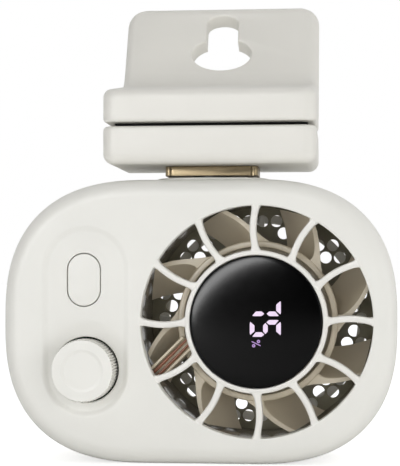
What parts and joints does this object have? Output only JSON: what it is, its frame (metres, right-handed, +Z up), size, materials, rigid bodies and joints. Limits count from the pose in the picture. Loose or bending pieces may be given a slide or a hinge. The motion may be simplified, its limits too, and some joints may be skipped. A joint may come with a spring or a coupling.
{
  "type": "clip-on desk fan",
  "caption": "Small clip-on desk fan: rounded housing with a ducted impeller, speed knob and read-out, under a spring clip on a swivel.",
  "frame": {"origin": "centre of the flat underside that the housing stands on, midway through its depth", "axes": "+Z up, front of the fan towards -Y, +X to the fan's side as seen from the front"},
  "size_m": [0.1, 0.058, 0.124],
  "materials": {
    "white_plastic": "fine satin, off-white",
    "beige_plastic": "satin, warm beige",
    "dark_gloss": "glossy, near-black brown",
    "dark_mesh_paint": "satin, dark olive",
    "lens_black": "high gloss black",
    "black_plastic": "matt black",
    "black_rubber": "matt black",
    "champagne_metal": "satin champagne",
    "plain_steel": "plain",
    "bearing_brass": "sintered",
    "magnet_grey": "matt grey ferrite",
    "board_green": "green solder mask",
    "lead_brown": "brown sleeve",
    "lead_red": "red sleeve",
    "lead_black": "black sleeve",
    "cell_foil": "laminated foil",
    "display_white": "white reflector"
  },
  "bodies": {
    "housing": {"front_cover": "white_plastic", "rear_cover": "white_plastic", "front_grille": "white_plastic", "rear_grille": "white_plastic", "rear_mesh": "dark_mesh_paint", "fan_duct": "dark_gloss", "case_screw_1": "plain_steel", "case_screw_2": "plain_steel", "case_screw_3": "plain_steel", "case_screw_4": "plain_steel", "lead_channel": "beige_plastic", "display_lead_1": "lead_brown", "display_lead_2": "lead_brown", "display_lens": "lens_black", "display_cup": "black_plastic", "display_board": "board_green", "display_module": "display_white", "motor_base": "black_plastic", "motor_stator": "plain_steel", "motor_board": "board_green", "front_bearing": "bearing_brass", "rear_bearing": "bearing_brass", "motor_lead_1": "lead_red", "motor_lead_2": "lead_black", "main_board": "board_green", "power_switch": "black_plastic", "knob_encoder": "black_plastic", "charge_port": "plain_steel", "port_tongue": "black_plastic", "battery_cell": "cell_foil", "battery_lead_1": "lead_red", "battery_lead_2": "lead_black", "swivel_base": "white_plastic", "swivel_nut": "plain_steel"},
    "fan_rotor": {"impeller": "beige_plastic", "rotor_can": "plain_steel", "magnet_ring": "magnet_grey", "motor_shaft": "plain_steel"},
    "knob": {"speed_knob": "white_plastic", "encoder_shaft": "plain_steel"},
    "button": {"power_button": "white_plastic"},
    "clip_base": {"swivel_block": "champagne_metal", "swivel_washer": "black_plastic", "swivel_post": "plain_steel", "lower_jaw": "white_plastic", "lower_pad": "black_rubber", "hinge_pin": "plain_steel", "clip_spring": "plain_steel"},
    "clip_jaw": {"upper_jaw": "white_plastic", "upper_pad": "black_rubber"}
  },
  "joints": [
    {"name": "rotor_spin", "type": "hinge", "parent": "housing", "child": "fan_rotor", "pos_m": [0.0147, 0, 0.036], "axis": [0, -1, 0], "continuous": true},
    {"name": "knob_turn", "type": "hinge", "parent": "housing", "child": "knob", "pos_m": [-0.0284, 0, 0.0238], "axis": [0, 1, 0], "range_deg": [-210, 70]},
    {"name": "button_press", "type": "slide", "parent": "housing", "child": "button", "axis": [0, 1, 0], "range_m": [0, 0.0004], "stiffness_N_per_m": 2000, "springref_m": -0.0003},
    {"name": "clip_swivel", "type": "hinge", "parent": "housing", "child": "clip_base", "pos_m": [0.0024, 0, 0.073], "axis": [0, 0, 1], "range_deg": [-180, 180]},
    {"name": "clip_open", "type": "hinge", "parent": "clip_base", "child": "clip_jaw", "pos_m": [0.0024, 0.012, 0.0863], "axis": [-1, 0, 0], "range_deg": [0, 35], "stiffness_Nm_per_rad": 0.15, "springref_deg": -17.19, "deforming": ["clip_spring"]}
  ]
}
